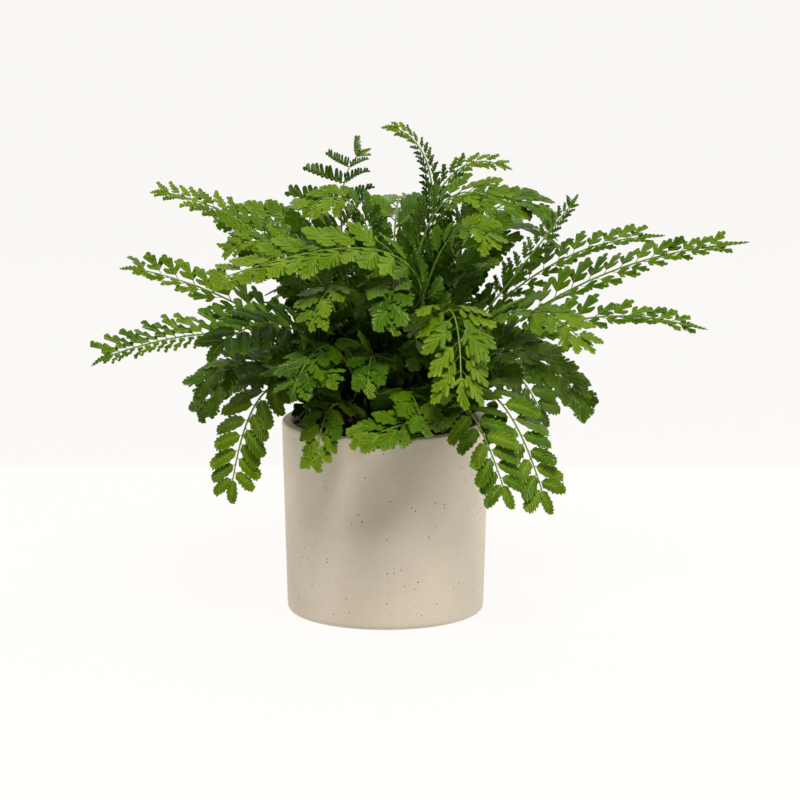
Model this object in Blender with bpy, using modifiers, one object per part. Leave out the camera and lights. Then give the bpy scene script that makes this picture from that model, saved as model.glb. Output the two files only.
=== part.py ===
"""A fern with arching, finely cut fronds, standing in a plain round concrete pot.

Run with: blender --background --python part.py
The plant is worked out in millimetres and every mesh is made in metres. The pot
stands on Z = 0 with its axis on Z, and the front of the plant is -Y.
"""

import math
import random
from collections import namedtuple

import bmesh
import bpy
import numpy as np
from mathutils import Vector
from mathutils.bvhtree import BVHTree

MM = 0.001
MERGE = 0.00002

# Pot
POT_HEIGHT = 131
POT_RIM_RADIUS = 70
POT_FOOT_RADIUS = 66.5
POT_WALL = 7
POT_FLOOR = 9
RIM_ROUND = 1.5
FOOT_ROUND = 4
POT_SIDES = 36

# Potting mix, which fills the pot round the crown
FIT_GAP = 0.3
SOIL_BELOW_RIM = 4
SOIL_MOUND = 4
SOIL_RINGS = 3
SOIL_SIDES = 24
SOIL_LUMP = 1.5
SOIL_SEED = 3

# Crown, the short rootstock that every frond grows from
CROWN_RADIUS = 32
CROWN_SUNK = 14
CROWN_RISE = 7
CROWN_ROUND = 3
CROWN_SIDES = 20
SOCKET_DEPTH = 5.5
SOCKET_RADIUS = 2.1
SOCKET_SIDES = 4

# Rib of a frond, from the crown to the tip
RIB_HALF_WIDTH = (1.0, 0.45)
RIB_HALF_DEPTH = (0.9, 0.45)
STALK_KNEE = 0.5
ARCH_STEPS = 60
LIGHT_LEAN = 0.9

# Leaflets
BLADE_HALF_THICKNESS = 0.35
LEAFLET_ROOT = 2.6
LEAFLET_CROWDING = 0.8
LEAFLET_CURL = 0.12
LEAFLET_RISE = 0.2
LEAFLET_SAG = 0.011
SHORT_LEAFLET = 16
TINY_LEAFLET = 11
SHORTEST_END = 0.06
END_LEAFLET = 0.95
CLOSER_AT_TIP = 1.2
FORWARD_AT_TIP = 14
UNEVEN_LENGTH = 0.08
UNEVEN_ANGLE = 4
UNEVEN_TILT = 7

# A leaflet that would meet another frond is turned about the rib, then shortened
TURNS = (0, 14, -14, 28, -28, 42, -42, 56)
SHORTER = (1, 0.8, 0.62, 0.45, 0.3)
LEAFLET_CLEARANCE = 0.45
RIM_CLEARANCE = 1.5

# How the leaflets of a frond stand: angle to the rib, width as a share of length, whether left
# and right ones alternate, how they shorten along the frond as (loss, power), and the outline as
# (distance, towards the base, towards the tip)
KINDS = {
    "lobed": (56, 0.7, False, (0.66, 0.65), ((0.36, 0.5, 0.54), (0.6, 0.28, 0.36), (1, 0.2, 0.3))),
    "hand": (50, 0.5, False, (0.66, 0.8), ((0.5, 0.2, 0.62), (1, 0.1, 0.3))),
    "finger": (54, 0.44, False, (0.72, 0.75), ((0.5, 0.36, 0.4), (1, 0.3, 0.36))),
    "fan": (52, 0.66, True, (0.62, 0.8), ((0.3, 0.14, 0.2), (0.85, 0.5, 0.56), (1, 0.22, 0.3))),
    "broad": (50, 0.68, False, (0.6, 0.6), ((0.42, 0.42, 0.44), (0.8, 0.5, 0.52), (1, 0.22, 0.3))),
    "comb": (62, 0.42, False, (0.62, 0.75), ((0.14, 0.25, 0.62), (0.55, 0.25, 0.5), (1, 0.1, 0.16))),
    "oval": (56, 0.6, False, (0.66, 0.7), ((0.25, 0.42, 0.44), (0.7, 0.44, 0.42), (1, 0.1, 0.1))),
}
SHORT_OUTLINE = ((0.6, 0.44, 0.46), (1, 0.26, 0.32))
TINY_OUTLINE = ((1, 0.4, 0.44),)
END_OUTLINE = ((0.1, 0.08), (0.45, 0.3), (1, 0.06))
END_LEAFLET_GAP = 2

# Rings of stalks on the crown: radius, and the heading of the first stalk in degrees
OUTER_RING = (27.5, -170)
MIDDLE_RING = (20.5, -172)
INNER_RING = (13, -165)
CENTRE_RING = (6.5, -135)

# One line a frond: where its arch is drawn to, where its tip ends, its longest leaflet, its
# pairs of leaflets, its kind, and where along it they start. Each ring runs anticlockwise seen
# from above, from the left round the front.
OUTER_FRONDS = (
    ((-88, -38, 212), (-104, -48, 83), 30, 6, "oval", 0.22),
    ((-105, -72, 200), (-27, -97, 176), 30, 5, "lobed", 0.25),
    ((-40, -62, 182), (-46, -94, 114), 27, 5, "broad", 0.16),
    ((72, -96, 168), (-24, -119, 139), 27, 6, "broad", 0.25),
    ((14, -74, 192), (26, -116, 142), 30, 5, "broad", 0.16),
    ((52, -80, 208), (90, -108, 92), 28, 6, "oval", 0.22),
    ((74, -62, 214), (112, -88, 84), 29, 6, "oval", 0.22),
    ((92, -36, 226), (130, -66, 152), 36, 5, "lobed", 0.16),
    ((88, 12, 215), (140, 22, 128), 33, 5, "broad", 0.16),
    ((78, 55, 205), (112, 80, 108), 33, 5, "oval", 0.16),
    ((30, 66, 262), (52, 138, 172), 35, 5, "lobed", 0.16),
    ((-16, 84, 205), (-25, 138, 106), 35, 4, "broad", 0.16),
    ((-46, 60, 262), (-84, 116, 180), 35, 5, "lobed", 0.16),
    ((-86, 32, 205), (-130, 48, 120), 34, 4, "broad", 0.16),
    ((-92, -16, 205), (-129, -38, 152), 34, 5, "lobed", 0.16),
)
MIDDLE_FRONDS = (
    ((-62, -20, 228), (-197, -30, 175), 24, 8, "finger", 0.2),
    ((-60, -42, 245), (-118, -76, 186), 36, 5, "oval", 0.18),
    ((-36, -60, 236), (-62, -116, 166), 37, 5, "lobed", 0.18),
    ((-8, -62, 222), (-12, -114, 168), 34, 5, "broad", 0.16),
    ((52, -70, 290), (49, -134, 164), 44, 6, "lobed", 0.22),
    ((82, -50, 262), (136, -90, 192), 38, 5, "lobed", 0.18),
    ((105, -20, 232), (214, -36, 198), 27, 6, "fan", 0.2),
    ((112, 2, 245), (243, -18, 254), 27, 6, "fan", 0.22),
    ((92, 28, 255), (190, 34, 250), 27, 5, "fan", 0.22),
    ((56, 56, 300), (122, 130, 226), 38, 5, "lobed", 0.2),
    ((6, 60, 330), (14, 172, 236), 38, 5, "broad", 0.2),
    ((-44, 66, 306), (-92, 140, 240), 38, 5, "lobed", 0.2),
    ((-60, 44, 262), (-112, 70, 240), 34, 5, "broad", 0.2),
    ((-70, 10, 215), (-179, 12, 234), 30, 7, "hand", 0.2),
)
INNER_FRONDS = (
    ((-45, -12, 290), (-110, -20, 246), 28, 6, "hand", 0.3),
    ((-24, -42, 280), (-50, -104, 210), 37, 5, "lobed", 0.28),
    ((6, -22, 328), (-56, -36, 276), 34, 5, "lobed", 0.32),
    ((2, -44, 288), (4, -108, 208), 38, 5, "broad", 0.28),
    ((80, -68, 312), (-117, -100, 240), 35, 6, "lobed", 0.3),
    ((34, -34, 312), (75, -62, 256), 34, 5, "lobed", 0.32),
    ((12, -22, 330), (82, -32, 280), 34, 5, "lobed", 0.32),
    ((40, -6, 306), (90, -12, 284), 30, 5, "hand", 0.32),
    ((92, 18, 232), (131, 28, 280), 28, 5, "fan", 0.3),
    ((60, 44, 318), (118, 66, 256), 36, 5, "broad", 0.3),
    ((64, 22, 322), (-3, 20, 328), 24, 7, "hand", 0.45),
    ((22, 18, 338), (85, 15, 298), 26, 6, "hand", 0.45),
    ((-52, 32, 306), (-9, 60, 306), 44, 6, "comb", 0.42),
    ((-40, 34, 290), (-116, 42, 258), 30, 5, "broad", 0.3),
    ((-50, 6, 272), (-159, 28, 283), 26, 7, "hand", 0.3),
)
CENTRE_FRONDS = (
    ((-32, -14, 214), (-40, -67, 203), 34, 4, "broad", 0.16),
    ((14, -24, 224), (28, -78, 181), 34, 4, "broad", 0.16),
    ((35, 8, 223), (71, 49, 237), 34, 4, "lobed", 0.2),
    ((-12, 24, 240), (-46, 55, 229), 34, 4, "lobed", 0.2),
)

Leaflet = namedtuple("Leaflet", "side place length width angle root outline")

MATERIALS = {
    "concrete": ((0.50, 0.45, 0.38), 0.8),
    "potting_mix": ((0.075, 0.035, 0.018), 0.95),
    "rootstock": ((0.045, 0.028, 0.015), 0.9),
    "frond": ((0.085, 0.24, 0.012), 0.45),
}


def material(name):
    """The Principled material of that name, made once."""
    made = bpy.data.materials.get(name)
    if made:
        return made
    colour, roughness = MATERIALS[name]
    made = bpy.data.materials.new(name)
    made.use_nodes = True
    shader = made.node_tree.nodes["Principled BSDF"]
    shader.inputs["Base Color"].default_value = (*colour, 1)
    shader.inputs["Roughness"].default_value = roughness
    made.diffuse_color = (*colour, 1)
    return made


def add_object(name, bm, collection, slot):
    """Turns a bmesh in millimetres into a named object in metres."""
    bmesh.ops.scale(bm, vec=(MM, MM, MM), verts=bm.verts)
    mesh = bpy.data.meshes.new(name)
    bm.to_mesh(mesh)
    bm.free()
    obj = bpy.data.objects.new(name, mesh)
    collection.objects.link(obj)
    mesh.materials.append(material(slot))
    return obj


def turned(name, profile, sides, collection, slot):
    """A profile of (radius, height) points that a Screw modifier turns about Z."""
    bm = bmesh.new()
    verts = [bm.verts.new((radius, 0, height)) for radius, height in profile]
    for pair in zip(verts, verts[1:]):
        bm.edges.new(pair)
    obj = add_object(name, bm, collection, slot)
    screw = obj.modifiers.new("turn", "SCREW")
    screw.steps = screw.render_steps = sides
    screw.use_merge_vertices = True
    screw.merge_threshold = MERGE
    return obj


def quarter(centre, radius, start, steps):
    """Points of a quarter circle from the start angle, turning clockwise."""
    angles = [start - math.pi / 2 * k / steps for k in range(steps + 1)]
    return [(centre[0] + radius * math.cos(a), centre[1] + radius * math.sin(a)) for a in angles]


def pot_inner_radius(height):
    """Radius of the pot's inside at a height above the table."""
    return POT_FOOT_RADIUS - POT_WALL + (POT_RIM_RADIUS - POT_FOOT_RADIUS) * height / POT_HEIGHT


def make_pot(collection):
    """A slightly tapered pot with a softly rounded rim and foot, flat underneath."""
    rim_top = POT_HEIGHT - RIM_ROUND
    profile = [(0, POT_FLOOR), (pot_inner_radius(POT_FLOOR), POT_FLOOR)]
    profile.append((pot_inner_radius(rim_top), rim_top))
    profile.append((pot_inner_radius(rim_top) + RIM_ROUND, POT_HEIGHT))
    profile += quarter((POT_RIM_RADIUS - RIM_ROUND, rim_top), RIM_ROUND, math.pi / 2, 1)
    profile += quarter((POT_FOOT_RADIUS - FOOT_ROUND, FOOT_ROUND), FOOT_ROUND, 0, 2)
    profile.append((0, 0))
    turned("pot", profile, POT_SIDES, collection, "concrete")


def soil_height(radius):
    """The mix rises gently from the wall to the crown."""
    edge = POT_HEIGHT - SOIL_BELOW_RIM
    return edge + SOIL_MOUND * (1 - (radius / pot_inner_radius(edge)) ** 2)


def make_soil(collection):
    """Potting mix, lumpy on top, with a plain recess for the crown."""
    edge = POT_HEIGHT - SOIL_BELOW_RIM
    outer = pot_inner_radius(edge) - FIT_GAP
    recess = CROWN_RADIUS + FIT_GAP
    recess_floor = edge - CROWN_SUNK - FIT_GAP
    profile = [(0, recess_floor), (recess, recess_floor)]
    for ring in range(SOIL_RINGS + 1):
        radius = recess + (outer - recess) * ring / SOIL_RINGS
        profile.append((radius, soil_height(radius)))
    profile.append((pot_inner_radius(POT_FLOOR) - FIT_GAP, POT_FLOOR + FIT_GAP))
    profile.append((0, POT_FLOOR + FIT_GAP))
    soil = turned("potting_mix", profile, SOIL_SIDES, collection, "potting_mix")
    evaluated = soil.evaluated_get(bpy.context.evaluated_depsgraph_get())
    mesh = bpy.data.meshes.new_from_object(evaluated)
    soil.modifiers.clear()
    soil.data = mesh
    rng = random.Random(SOIL_SEED)
    for vert in mesh.vertices:
        radius = vert.co.xy.length / MM
        if recess < radius - FIT_GAP < radius + FIT_GAP < outer and vert.co.z > edge * MM:
            vert.co.z += rng.uniform(-SOIL_LUMP, SOIL_LUMP) * MM


def crown_height(radius):
    """Top of the domed crown."""
    return POT_HEIGHT - SOIL_BELOW_RIM + CROWN_RISE * (1 - (radius / CROWN_RADIUS) ** 2)


def make_crown(collection, cutters, fronds):
    """The domed rootstock, with a plain socket for each stalk."""
    floor = POT_HEIGHT - SOIL_BELOW_RIM - CROWN_SUNK
    profile = [(CROWN_RADIUS * k, crown_height(CROWN_RADIUS * k)) for k in (0, 0.4, 0.7, 1)]
    profile += [(CROWN_RADIUS, floor + CROWN_ROUND), (CROWN_RADIUS - CROWN_ROUND, floor), (0, floor)]
    crown = turned("crown", profile, CROWN_SIDES, collection, "rootstock")
    bm = bmesh.new()
    for frond in fronds:
        foot, knee = (Vector(place) for place in frond.stalk())
        way = (knee - foot).normalized()
        turn = way.to_track_quat("Z", "Y").to_matrix().to_4x4()
        turn.translation = foot + way * (SOCKET_DEPTH - FIT_GAP)
        bmesh.ops.create_cone(
            bm, cap_ends=True, segments=SOCKET_SIDES, radius1=SOCKET_RADIUS,
            radius2=SOCKET_RADIUS, depth=2 * SOCKET_DEPTH, matrix=turn,
        )
    sockets = add_object("sockets", bm, cutters, "rootstock")
    sockets.hide_render = True
    sockets.display_type = "WIRE"
    cut = crown.modifiers.new("sockets", "BOOLEAN")
    cut.operation = "DIFFERENCE"
    cut.object = sockets


class Arch:
    """The line of a frond's rib: a parabola from the crown towards its crest and over to its tip."""

    def __init__(self, root, crest, tip):
        self.root, self.crest, self.tip = (np.array(place, float) for place in (root, crest, tip))
        reach = self.tip - self.root
        sideways = 1 - abs(reach[1]) / np.linalg.norm(reach)
        self.facing = np.array((0, -LIGHT_LEAN * sideways, 1))
        self.t = np.linspace(0, 1, ARCH_STEPS + 1)
        steps = np.diff(self.point(self.t), axis=0)
        self.reached = np.concatenate(([0], np.cumsum(np.linalg.norm(steps, axis=1))))
        self.length = self.reached[-1]

    def point(self, t):
        t = np.asarray(t)[:, None]
        return (1 - t) ** 2 * self.root + 2 * t * (1 - t) * self.crest + t**2 * self.tip

    def bend(self, flat):
        """Moves flat points (across, along, up) onto the arch."""
        t = np.interp(flat[:, 1], self.reached, self.t)
        past = flat[:, 1:2] - np.clip(flat[:, 1:2], 0, self.length)
        ways = (1 - t[:, None]) * (self.crest - self.root) + t[:, None] * (self.tip - self.crest)
        ways /= np.linalg.norm(ways, axis=1, keepdims=True)
        normals = self.facing - (ways @ self.facing)[:, None] * ways
        normals /= np.linalg.norm(normals, axis=1, keepdims=True)
        sides = np.cross(ways, normals)
        return self.point(t) + past * ways + flat[:, :1] * sides + flat[:, 2:] * normals


def taper(u, loss, power):
    """Length of a leaflet at u along the blade, as a share of the longest."""
    return (0.8 + 0.2 * min(1, u / 0.15)) * (1 - loss * u) ** power


def plan_leaflets(arch, reach, pairs, kind, starts, rng):
    """Every leaflet of a frond, with its side, its place along the rib and its shape."""
    angle, plump, alternate, shrink, outline = KINDS[kind]
    end = max(SHORTEST_END * arch.length, END_LEAFLET * reach * taper(1, *shrink))
    first, last = starts * arch.length, arch.length - end
    leaflets = []
    for pair in range(pairs):
        for side in (1, -1):
            place = (pair + (0.5 if alternate and side < 0 else 0)) / pairs
            u = 1 - (1 - place) ** CLOSER_AT_TIP
            spacing = CLOSER_AT_TIP * (1 - place) ** (CLOSER_AT_TIP - 1) / pairs * (last - first)
            turn = angle - FORWARD_AT_TIP * u + rng.uniform(-UNEVEN_ANGLE, UNEVEN_ANGLE)
            turn = math.radians(turn)
            length = reach * taper(u, *shrink) * rng.uniform(1 - UNEVEN_LENGTH, 1 + UNEVEN_LENGTH)
            width = min(plump * length, LEAFLET_CROWDING * spacing * math.sin(turn))
            root = LEAFLET_ROOT * (0.55 + 0.45 * taper(u, *shrink))
            shape = outline
            if length < SHORT_LEAFLET:
                shape = TINY_OUTLINE if length < TINY_LEAFLET else SHORT_OUTLINE
            along = first + u * (last - first)
            leaflets.append(Leaflet(side, along, length, width, turn, root, shape))
    return leaflets, end


def rib_section(y, length):
    """Keel, right and left corners of the rib's three-sided section."""
    share = min(1, max(0, y / length))
    width = RIB_HALF_WIDTH[0] + (RIB_HALF_WIDTH[1] - RIB_HALF_WIDTH[0]) * share
    depth = RIB_HALF_DEPTH[0] + (RIB_HALF_DEPTH[1] - RIB_HALF_DEPTH[0]) * share
    return [(0, y, -depth), (width, y, depth), (-width, y, depth)]


class Frond:
    """A frond drawn flat, whose leaflets can be turned and shortened before it is bent."""

    def __init__(self, number, arch, line):
        _, _, reach, pairs, kind, starts = line
        self.arch = arch
        self.rng = random.Random(number)
        self.leaflets, self.end = plan_leaflets(arch, reach, pairs, kind, starts, self.rng)
        self.tilts = np.radians([self.rng.uniform(-UNEVEN_TILT, UNEVEN_TILT) for _ in self.leaflets])
        self.sizes = np.ones(len(self.leaflets))
        self.bm = bmesh.new()
        self.blade = {}
        self.draw()

    def grow(self, face, corners, places):
        """Extrudes a face, given its corners in order, and moves the new ones to their places."""
        old = list(face.verts)
        end = bmesh.ops.extrude_discrete_faces(self.bm, faces=[face])["faces"][0]
        copies = dict(zip(old, end.verts))
        new = [copies[corner] for corner in corners]
        for vert, place in zip(new, places):
            vert.co = place
        return end, new

    def draw(self):
        """Draws the rib, with a leaflet on each stretch of it that carries one."""
        length, first = self.arch.length, self.leaflets[0].place
        foot = bmesh.ops.create_circle(self.bm, cap_ends=True, segments=3, radius=1)["verts"]
        for vert, place in zip(foot, rib_section(FIT_GAP - SOCKET_DEPTH, length)):
            vert.co = place
        grown = bmesh.ops.extrude_face_region(self.bm, geom=list(self.bm.faces))["geom"]
        face = next(item for item in grown if isinstance(item, bmesh.types.BMFace))
        corners = [min(face.verts, key=lambda v: (v.co - vert.co).length) for vert in foot]
        for vert, place in zip(corners, rib_section(first * STALK_KNEE, length)):
            vert.co = place
        for place in sorted({leaflet.place for leaflet in self.leaflets}):
            here = [(i, leaflet) for i, leaflet in enumerate(self.leaflets) if leaflet.place == place]
            half_root = here[0][1].root / 2
            face, near = self.grow(face, corners, rib_section(place - half_root, length))
            face, corners = self.grow(face, near, rib_section(place + half_root, length))
            for index, leaflet in here:
                hand = 1 if leaflet.side > 0 else 2
                self.draw_leaflet(index, (near[0], corners[0], corners[hand], near[hand]))
        self.draw_tip(face, corners, length)
        bmesh.ops.triangulate(self.bm, faces=self.bm.faces)
        bmesh.ops.recalc_face_normals(self.bm, faces=self.bm.faces)
        self.settle()

    def draw_leaflet(self, index, corners):
        """Draws a leaflet out of the rib, top and bottom split along the same diagonals."""
        leaflet = self.leaflets[index]
        side, angle = leaflet.side, leaflet.angle
        along = Vector((side * math.sin(angle), math.cos(angle)))
        across = Vector((-side * math.cos(angle), math.sin(angle)))
        hinge = Vector((corners[2].co.x, leaflet.place))
        face = self.bm.faces.get(corners)
        for distance, near, far in leaflet.outline:
            middle = hinge + (along + across * LEAFLET_CURL * distance) * leaflet.length * distance
            base, tip = middle - across * leaflet.width * near, middle + across * leaflet.width * far
            places = [(*base, 0), (*tip, 0), (*tip, 0), (*base, 0)]
            face, new = self.grow(face, corners, places)
            for a, b in ((0, 1), (3, 2)):
                blade = self.bm.faces.get((corners[a], corners[b], new[b], new[a]))
                bmesh.utils.face_split(blade, corners[a], new[b])
            for vert, layer in zip(new, (-1, -1, 1, 1)):
                self.blade[vert] = (index, layer, hinge)
            corners = new

    def draw_tip(self, face, corners, length):
        """The last leaflet, in line with the rib."""
        start = length - self.end + END_LEAFLET_GAP
        for distance, width in END_OUTLINE:
            y = start + (length - start) * distance
            w, h = max(RIB_HALF_WIDTH[1], self.leaflets[-1].length * width), BLADE_HALF_THICKNESS
            face, corners = self.grow(face, corners, [(0, y, -h), (w, y, h), (-w, y, h)])

    def settle(self):
        """Reads the drawing into arrays, so that its points can be moved together."""
        self.bm.verts.index_update()
        count = len(self.bm.verts)
        self.flat = np.array([vert.co[:] for vert in self.bm.verts])
        self.owner = np.full(count, -1)
        self.layer, self.hinge = np.zeros(count), np.zeros((count, 2))
        for vert, (index, layer, hinge) in self.blade.items():
            self.owner[vert.index] = index
            self.layer[vert.index] = layer
            self.hinge[vert.index] = hinge
        self.faces = np.array([[v.index for v in face.verts] for face in self.bm.faces])

    def points(self, picked, thicker=0):
        """Bent places of the picked vertices, the leaflets turned and sized as they stand."""
        flat = self.flat[picked].copy()
        owner, hinge = self.owner[picked], self.hinge[picked]
        blade = owner >= 0
        size, tilt = self.sizes[owner[blade]], self.tilts[owner[blade]]
        side = np.sign(hinge[blade, 0])
        out = (flat[blade, 0] - hinge[blade, 0]) * side * size
        lift = LEAFLET_RISE * out - LEAFLET_SAG * out**2
        lift += self.layer[picked][blade] * (BLADE_HALF_THICKNESS + thicker)
        flat[blade, 0] = hinge[blade, 0] + side * (out * np.cos(tilt) - lift * np.sin(tilt))
        flat[blade, 1] = hinge[blade, 1] + (flat[blade, 1] - hinge[blade, 1]) * size
        flat[blade, 2] = out * np.sin(tilt) + lift * np.cos(tilt)
        return self.arch.bend(flat)

    def stalk(self):
        """The foot of the stalk and the first bend above it."""
        heights = [FIT_GAP - SOCKET_DEPTH, self.leaflets[0].place * STALK_KNEE]
        return self.arch.bend(np.array([(0, height, 0) for height in heights]))

    def rib_faces(self):
        """Faces of the bare rib."""
        return self.faces[(self.owner[self.faces] < 0).all(axis=1)]

    def make_room(self, others):
        """Turns each leaflet about the rib, and then shortens it, until it is clear of the others."""
        resting = self.tilts.copy()
        for index in range(len(self.leaflets)):
            mine = self.faces[(self.owner[self.faces] == index).any(axis=1)]
            picked, local = np.unique(mine, return_inverse=True)
            local = local.reshape(mine.shape)
            for size, turn in [(size, turn) for size in SHORTER for turn in TURNS]:
                self.sizes[index] = size
                self.tilts[index] = resting[index] + math.radians(turn)
                points = self.points(picked, LEAFLET_CLEARANCE)
                tree = BVHTree.FromPolygons(points.tolist(), local.tolist())
                inside = np.hypot(points[:, 0], points[:, 1]) < POT_RIM_RADIUS
                low = (inside & (points[:, 2] < POT_HEIGHT)).any()
                if not low and not any(tree.overlap(other) for other in others):
                    break

    def finish(self, name, collection):
        """Bends the drawing into place and makes it an object."""
        for vert, place in zip(self.bm.verts, self.points(np.arange(len(self.flat)))):
            vert.co = place
        add_object(name, self.bm, collection, "frond")


def ring_arches(ring, lines):
    """The arches of one ring of fronds, rooted evenly round the crown."""
    radius, first = ring
    arches = []
    for number, (crest, tip, *_) in enumerate(lines):
        turn = math.radians(first) + math.tau * number / len(lines)
        root = (radius * math.cos(turn), radius * math.sin(turn), crown_height(radius))
        arches.append(Arch(root, crest, tip))
    return arches


def tree_of(parts):
    """One search tree of several (points, faces) meshes."""
    points, faces, start = [], [], 0
    for some_points, some_faces in parts:
        points += some_points.tolist()
        faces += (some_faces + start).tolist()
        start += len(some_points)
    return BVHTree.FromPolygons(points, faces)


def pot_tree():
    """A search tree of the pot's outer shape, a little larger all round."""
    bm = bmesh.new()
    bmesh.ops.create_cone(
        bm, cap_ends=True, segments=POT_SIDES, radius1=POT_FOOT_RADIUS + RIM_CLEARANCE,
        radius2=POT_RIM_RADIUS + RIM_CLEARANCE, depth=POT_HEIGHT + RIM_CLEARANCE,
    )
    bmesh.ops.translate(bm, vec=(0, 0, (POT_HEIGHT + RIM_CLEARANCE) / 2), verts=bm.verts)
    tree = BVHTree.FromBMesh(bm)
    bm.free()
    return tree


def make_fronds(collection, fronds):
    """Settles every frond, the inner ones first, each clear of those before it and of all ribs."""
    everything = [np.arange(len(frond.flat)) for frond in fronds]
    shown = [(frond.points(whole), frond.rib_faces()) for frond, whole in zip(fronds, everything)]
    pot = pot_tree()
    for number in range(len(fronds)):
        rest = tree_of(shown[:number] + shown[number + 1:])
        fronds[number].make_room((rest, pot))
        shown[number] = (fronds[number].points(everything[number]), fronds[number].faces)
    for number, frond in enumerate(fronds):
        frond.finish(f"frond_{number + 1:02d}", collection)


def main():
    for obj in list(bpy.data.objects):
        bpy.data.objects.remove(obj, do_unlink=True)
    collection = bpy.data.collections.new("potted_fern")
    cutters = bpy.data.collections.new("cutters")
    for made in (collection, cutters):
        bpy.context.scene.collection.children.link(made)
    rings = (
        (INNER_RING, INNER_FRONDS), (MIDDLE_RING, MIDDLE_FRONDS),
        (OUTER_RING, OUTER_FRONDS), (CENTRE_RING, CENTRE_FRONDS),
    )
    arches = [arch for ring, lines in rings for arch in ring_arches(ring, lines)]
    lines = [line for _, ring_lines in rings for line in ring_lines]
    fronds = [Frond(number, arch, line) for number, (arch, line) in enumerate(zip(arches, lines))]
    make_pot(collection)
    make_soil(collection)
    make_crown(collection, cutters, fronds)
    make_fronds(collection, fronds)


main()
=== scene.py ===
import math
import random

import bmesh
import bpy
import numpy as np
from mathutils import Matrix, Vector, noise
from mathutils.bvhtree import BVHTree


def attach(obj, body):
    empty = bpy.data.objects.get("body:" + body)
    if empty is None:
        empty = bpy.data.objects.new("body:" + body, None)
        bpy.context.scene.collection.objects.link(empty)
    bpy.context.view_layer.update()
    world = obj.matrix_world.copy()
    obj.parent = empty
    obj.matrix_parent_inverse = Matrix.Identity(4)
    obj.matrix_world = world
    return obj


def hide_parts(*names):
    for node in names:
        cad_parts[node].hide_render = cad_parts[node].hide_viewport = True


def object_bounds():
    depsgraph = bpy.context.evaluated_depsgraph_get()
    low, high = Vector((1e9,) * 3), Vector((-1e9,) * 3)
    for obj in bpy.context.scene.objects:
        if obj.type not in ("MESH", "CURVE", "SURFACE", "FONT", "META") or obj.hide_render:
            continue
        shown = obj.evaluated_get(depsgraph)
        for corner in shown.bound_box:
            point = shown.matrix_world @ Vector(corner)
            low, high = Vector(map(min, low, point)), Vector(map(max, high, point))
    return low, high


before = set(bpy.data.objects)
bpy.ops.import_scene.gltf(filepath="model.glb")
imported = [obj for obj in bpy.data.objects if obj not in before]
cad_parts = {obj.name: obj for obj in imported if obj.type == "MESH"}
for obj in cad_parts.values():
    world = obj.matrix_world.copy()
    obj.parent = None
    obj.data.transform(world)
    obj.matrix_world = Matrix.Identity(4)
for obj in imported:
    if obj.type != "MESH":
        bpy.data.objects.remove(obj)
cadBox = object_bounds()
scene = bpy.context.scene
mm = 0.001
sharpAngle = math.radians(50)

# Camera at the photograph's angle, a little above the pot and looking along +Y
view = {"distance": 3.0, "downward": 11.2, "aim": (0.0098, 0.0, 0.144), "lens": 199.9}


def placeCamera():
    tilt = math.radians(view["downward"])
    aim = Vector(view["aim"])
    eye = aim + view["distance"] * Vector((0, -math.cos(tilt), math.sin(tilt)))
    data = bpy.data.cameras.new("photoCamera")
    data.lens = view["lens"]
    data.clip_end = 20
    camera = bpy.data.objects.new("photoCamera", data)
    camera.location = eye
    camera.rotation_euler = (aim - eye).to_track_quat("-Z", "Y").to_euler()
    scene.collection.objects.link(camera)
    scene.camera = camera


class Value:
    # A socket in a material, so that sums on it read as plain Python
    def __init__(self, look, socket):
        self.look = look
        self.socket = socket

    def sum(self, operation, first, second):
        return self.look.node("ShaderNodeMath", {"operation": operation}, {0: first, 1: second})

    def __add__(self, other):
        return self.sum("ADD", self, other)

    def __radd__(self, other):
        return self.sum("ADD", other, self)

    def __sub__(self, other):
        return self.sum("SUBTRACT", self, other)

    def __rsub__(self, other):
        return self.sum("SUBTRACT", other, self)

    def __mul__(self, other):
        return self.sum("MULTIPLY", self, other)

    def __rmul__(self, other):
        return self.sum("MULTIPLY", other, self)

    def __abs__(self):
        return self.sum("ABSOLUTE", self, 0)

    def fraction(self):
        return self.sum("FRACT", self, 0)

    def between(self, low, high):
        # 0 up to low, 1 from high, and a straight ramp between them
        limits = {"Value": self, "From Min": low, "From Max": high}
        return self.look.node("ShaderNodeMapRange", {"interpolation_type": "LINEAR", "clamp": True}, limits)


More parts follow.
